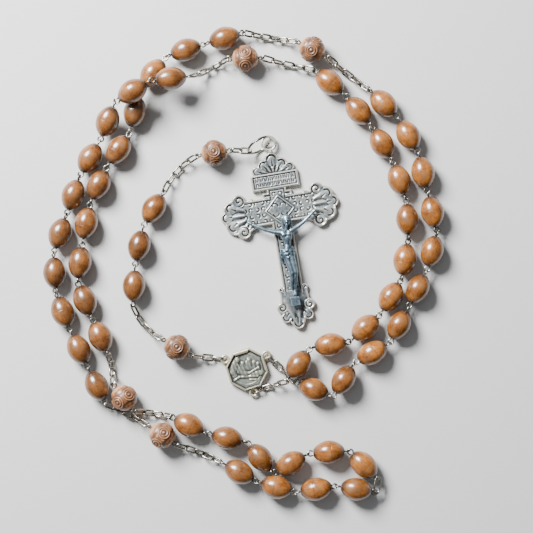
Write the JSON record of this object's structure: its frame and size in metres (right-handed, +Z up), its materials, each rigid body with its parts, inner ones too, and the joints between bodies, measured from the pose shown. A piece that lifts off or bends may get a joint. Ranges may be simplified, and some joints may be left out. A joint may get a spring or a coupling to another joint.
{
  "type": "rosary",
  "caption": "Rosary of brown oval beads and carved round beads on wire links, with an octagonal medal and a pewter crucifix, laid down as a doubled band.",
  "frame": {"origin": "centre of the medal's flat back, on the table", "axes": "+X right, +Y away from the viewer along the laid band, +Z up"},
  "size_m": [0.1195, 0.1414, 0.0123],
  "materials": {
    "wood": "polished, satin",
    "oxidised_wire": "oxidised wire",
    "worn_pewter": "worn pewter casting",
    "dark_steel": "dark, blued"
  },
  "bodies": {
    "medal_and_band": {"centre_medal": "worn_pewter", "medal_outer_chain": "oxidised_wire", "medal_inner_chain": "oxidised_wire", "right_outer_aves_1": "wood", "right_outer_aves_2": "wood", "right_inner_aves_1": "wood", "right_inner_aves_2": "wood", "top_outer_chain": "oxidised_wire", "top_inner_chain": "oxidised_wire", "left_inner_aves_1": "wood", "left_inner_aves_2": "wood", "left_outer_aves_5": "wood"},
    "band_2": {"left_inner_aves_3": "wood", "left_outer_aves_4": "wood"},
    "band_3": {"left_inner_aves_4": "wood", "left_outer_aves_3": "wood"},
    "band_4": {"left_inner_aves_5": "wood", "left_outer_aves_2": "wood"},
    "band_5": {"left_outer_aves_1": "wood", "left_upper_chain": "oxidised_wire", "left_lower_chain": "oxidised_wire", "bottom_out_aves_1": "wood"},
    "band_6": {"bottom_out_aves_2": "wood", "bottom_back_aves_2": "wood"},
    "band_7": {"bottom_out_aves_3": "wood", "bottom_back_aves_1": "wood"},
    "band_8": {"bottom_turn_aves": "wood"},
    "pendant_link_01": {"pendant_link_01": "oxidised_wire"},
    "pendant_link_02": {"pendant_link_02": "oxidised_wire"},
    "pendant_link_03": {"pendant_link_03": "oxidised_wire"},
    "pendant_lower_pin": {"pendant_lower_pater_pin": "oxidised_wire"},
    "pendant_link_04": {"pendant_link_04": "oxidised_wire"},
    "pendant_link_05": {"pendant_link_05": "oxidised_wire"},
    "pendant_link_06": {"pendant_link_06": "oxidised_wire"},
    "pendant_link_07": {"pendant_link_07": "oxidised_wire"},
    "ave_pin_1": {"pendant_ave_pin_1": "oxidised_wire"},
    "ave_pin_2": {"pendant_ave_pin_2": "oxidised_wire"},
    "ave_pin_3": {"pendant_ave_pin_3": "oxidised_wire"},
    "pendant_link_08": {"pendant_link_08": "oxidised_wire"},
    "pendant_link_09": {"pendant_link_09": "oxidised_wire"},
    "pendant_link_10": {"pendant_link_10": "oxidised_wire"},
    "pendant_link_11": {"pendant_link_11": "oxidised_wire"},
    "pendant_link_12": {"pendant_link_12": "oxidised_wire"},
    "pendant_upper_pin": {"pendant_upper_pater_pin": "oxidised_wire"},
    "pendant_link_13": {"pendant_link_13": "oxidised_wire"},
    "pendant_link_14": {"pendant_link_14": "oxidised_wire"},
    "jump_ring": {"crucifix_ring": "oxidised_wire"},
    "crucifix": {"cross": "worn_pewter", "corpus": "dark_steel"},
    "top_outer_pater": {"top_outer_pater": "wood"},
    "top_inner_pater": {"top_inner_pater": "wood"},
    "left_upper_pater": {"left_upper_pater": "wood"},
    "left_lower_pater": {"left_lower_pater": "wood"},
    "pendant_lower_pater": {"pendant_lower_pater": "wood"},
    "pendant_upper_pater": {"pendant_upper_pater": "wood"},
    "pendant_ave_1": {"pendant_ave_1": "wood"},
    "pendant_ave_2": {"pendant_ave_2": "wood"},
    "pendant_ave_3": {"pendant_ave_3": "wood"}
  },
  "joints": [
    {"name": "cross_lift", "type": "hinge", "parent": "jump_ring", "child": "crucifix", "pos_m": [0.00649, 0.06759, 0.00145], "axis": [-0.986, -0.1668, 0], "range_deg": [0, 70]},
    {"name": "jump_ring_lift", "type": "hinge", "parent": "pendant_link_14", "child": "jump_ring", "pos_m": [0.00098, 0.06511, 0.00398], "axis": [-0.5446, 0.8387, 0], "range_deg": [0, 12]},
    {"name": "band_fold_1", "type": "hinge", "parent": "medal_and_band", "child": "band_2", "pos_m": [-0.03925, 0.06938, 0.0035], "axis": [-0.9673, -0.2537, 0], "range_deg": [0, 16]},
    {"name": "band_fold_2", "type": "hinge", "parent": "band_2", "child": "band_3", "pos_m": [-0.05017, 0.04795, 0.0035], "axis": [-0.9068, -0.4216, 0], "range_deg": [0, 16]},
    {"name": "band_fold_3", "type": "hinge", "parent": "band_3", "child": "band_4", "pos_m": [-0.05368, 0.02447, 0.0035], "axis": [-0.8962, -0.4437, 0], "range_deg": [0, 16]},
    {"name": "band_fold_4", "type": "hinge", "parent": "band_4", "child": "band_5", "pos_m": [-0.04429, 0.00262, 0.0035], "axis": [-0.8475, -0.5307, 0], "range_deg": [0, 14]},
    {"name": "band_fold_5", "type": "hinge", "parent": "band_5", "child": "band_6", "pos_m": [-0.00375, -0.0245, 0.0035], "axis": [-0.786, -0.6182, 0], "range_deg": [0, 14]},
    {"name": "band_fold_6", "type": "hinge", "parent": "band_6", "child": "band_7", "pos_m": [0.01653, -0.03069, 0.0035], "axis": [-0.3053, -0.9522, 0], "range_deg": [0, 16]},
    {"name": "band_fold_7", "type": "hinge", "parent": "band_7", "child": "band_8", "pos_m": [0.02852, -0.02933, 0.0035], "axis": [-0.3419, -0.9397, 0], "range_deg": [0, 16]},
    {"name": "pendant_link_01_lift", "type": "hinge", "parent": "medal_and_band", "child": "pendant_link_01", "pos_m": [-0.00715, 0.00299, 0.0011], "axis": [1, 0, 0], "range_deg": [0, 8]},
    {"name": "pendant_link_02_swing", "type": "hinge", "parent": "pendant_link_01", "child": "pendant_link_02", "pos_m": [-0.01017, 0.00333, 0.00092], "axis": [0, 0, 1], "range_deg": [-8, 8]},
    {"name": "pendant_link_03_lift", "type": "hinge", "parent": "pendant_link_02", "child": "pendant_link_03", "pos_m": [-0.01318, 0.00366, 0.00187], "axis": [1, 0, 0], "range_deg": [0, 8]},
    {"name": "pendant_lower_pin_swing", "type": "hinge", "parent": "pendant_link_03", "child": "pendant_lower_pin", "pos_m": [-0.0162, 0.004, 0.00395], "axis": [0, 0, -1], "range_deg": [-8, 8]},
    {"name": "pendant_link_04_lift", "type": "hinge", "parent": "pendant_lower_pin", "child": "pendant_link_04", "pos_m": [-0.02536, 0.00929, 0.00395], "axis": [1, 0, 0], "range_deg": [0, 8]},
    {"name": "pendant_link_05_swing", "type": "hinge", "parent": "pendant_link_04", "child": "pendant_link_05", "pos_m": [-0.02829, 0.01101, 0.00198], "axis": [0, 0, 1], "range_deg": [-8, 8]},
    {"name": "pendant_link_06_lift", "type": "hinge", "parent": "pendant_link_05", "child": "pendant_link_06", "pos_m": [-0.0307, 0.0132, 0.00125], "axis": [1, 0, 0], "range_deg": [0, 8]},
    {"name": "pendant_link_07_swing", "type": "hinge", "parent": "pendant_link_06", "child": "pendant_link_07", "pos_m": [-0.03258, 0.01585, 0.00176], "axis": [0, 0, -1], "range_deg": [-7, 7]},
    {"name": "ave_pin_1_lift", "type": "hinge", "parent": "pendant_link_07", "child": "ave_pin_1", "pos_m": [-0.03395, 0.01897, 0.0035], "axis": [1, 0, 0], "range_deg": [0, 10]},
    {"name": "ave_pin_2_swing", "type": "hinge", "parent": "ave_pin_1", "child": "ave_pin_2", "pos_m": [-0.03331, 0.03103, 0.0035], "axis": [0, 0, -1], "range_deg": [-10, 10]},
    {"name": "ave_pin_3_lift", "type": "hinge", "parent": "ave_pin_2", "child": "ave_pin_3", "pos_m": [-0.0308, 0.04285, 0.0035], "axis": [1, 0, 0], "range_deg": [0, 10]},
    {"name": "pendant_link_08_swing", "type": "hinge", "parent": "ave_pin_3", "child": "pendant_link_08", "pos_m": [-0.02458, 0.0532, 0.0035], "axis": [0, 0, 1], "range_deg": [-10, 10]},
    {"name": "pendant_link_09_lift", "type": "hinge", "parent": "pendant_link_08", "child": "pendant_link_09", "pos_m": [-0.0233, 0.0559, 0.00201], "axis": [0.8306, -0.5569, 0], "range_deg": [0, 8]},
    {"name": "pendant_link_10_swing", "type": "hinge", "parent": "pendant_link_09", "child": "pendant_link_10", "pos_m": [-0.02169, 0.0583, 0.0013], "axis": [0, 0, -1], "range_deg": [-10, 10]},
    {"name": "pendant_link_11_lift", "type": "hinge", "parent": "pendant_link_10", "child": "pendant_link_11", "pos_m": [-0.01975, 0.0604, 0.00139], "axis": [0.6201, -0.7845, 0], "range_deg": [0, 8]},
    {"name": "pendant_link_12_swing", "type": "hinge", "parent": "pendant_link_11", "child": "pendant_link_12", "pos_m": [-0.01749, 0.06219, 0.00228], "axis": [0, 0, 1], "range_deg": [-10, 10]},
    {"name": "pendant_upper_pin_lift", "type": "hinge", "parent": "pendant_link_12", "child": "pendant_upper_pin", "pos_m": [-0.01489, 0.06368, 0.00395], "axis": [0.1548, -0.9879, 0], "range_deg": [0, 8]},
    {"name": "pendant_link_13_swing", "type": "hinge", "parent": "pendant_upper_pin", "child": "pendant_link_13", "pos_m": [-0.00444, 0.06534, 0.00395], "axis": [0, 0, -1], "range_deg": [-10, 10]},
    {"name": "pendant_link_14_lift", "type": "hinge", "parent": "pendant_link_13", "child": "pendant_link_14", "pos_m": [-0.00173, 0.06522, 0.00396], "axis": [-0.0413, -0.9991, 0], "range_deg": [0, 8]},
    {"name": "top_outer_pater_spin", "type": "hinge", "parent": "medal_and_band", "child": "top_outer_pater", "pos_m": [0.01945, 0.09531, 0.00395], "axis": [-0.891, 0.454, 0], "continuous": true},
    {"name": "top_inner_pater_spin", "type": "hinge", "parent": "medal_and_band", "child": "top_inner_pater", "pos_m": [-0.00048, 0.09265, 0.00395], "axis": [0.9994, 0.0349, 0], "continuous": true},
    {"name": "left_upper_pater_spin", "type": "hinge", "parent": "band_5", "child": "left_upper_pater", "pos_m": [-0.03648, -0.00834, 0.00395], "axis": [0.6157, -0.788, 0], "continuous": true},
    {"name": "left_lower_pater_spin", "type": "hinge", "parent": "band_5", "child": "left_lower_pater", "pos_m": [-0.02513, -0.01945, 0.00395], "axis": [-0.829, 0.5592, 0], "continuous": true},
    {"name": "pendant_lower_pater_spin", "type": "hinge", "parent": "pendant_lower_pin", "child": "pendant_lower_pater", "pos_m": [-0.02078, 0.00664, 0.00395], "axis": [-0.866, 0.5, 0], "continuous": true},
    {"name": "pendant_upper_pater_spin", "type": "hinge", "parent": "pendant_upper_pin", "child": "pendant_upper_pater", "pos_m": [-0.00966, 0.06451, 0.00395], "axis": [0.9877, 0.1564, 0], "continuous": true},
    {"name": "pendant_ave_1_spin", "type": "hinge", "parent": "ave_pin_1", "child": "pendant_ave_1", "pos_m": [-0.03363, 0.025, 0.0035], "axis": [0.0523, 0.9986, 0], "continuous": true},
    {"name": "pendant_ave_2_spin", "type": "hinge", "parent": "ave_pin_2", "child": "pendant_ave_2", "pos_m": [-0.03206, 0.03694, 0.0035], "axis": [0.2079, 0.9781, 0], "continuous": true},
    {"name": "pendant_ave_3_spin", "type": "hinge", "parent": "ave_pin_3", "child": "pendant_ave_3", "pos_m": [-0.02769, 0.04802, 0.0035], "axis": [0.515, 0.8572, 0], "continuous": true}
  ]
}
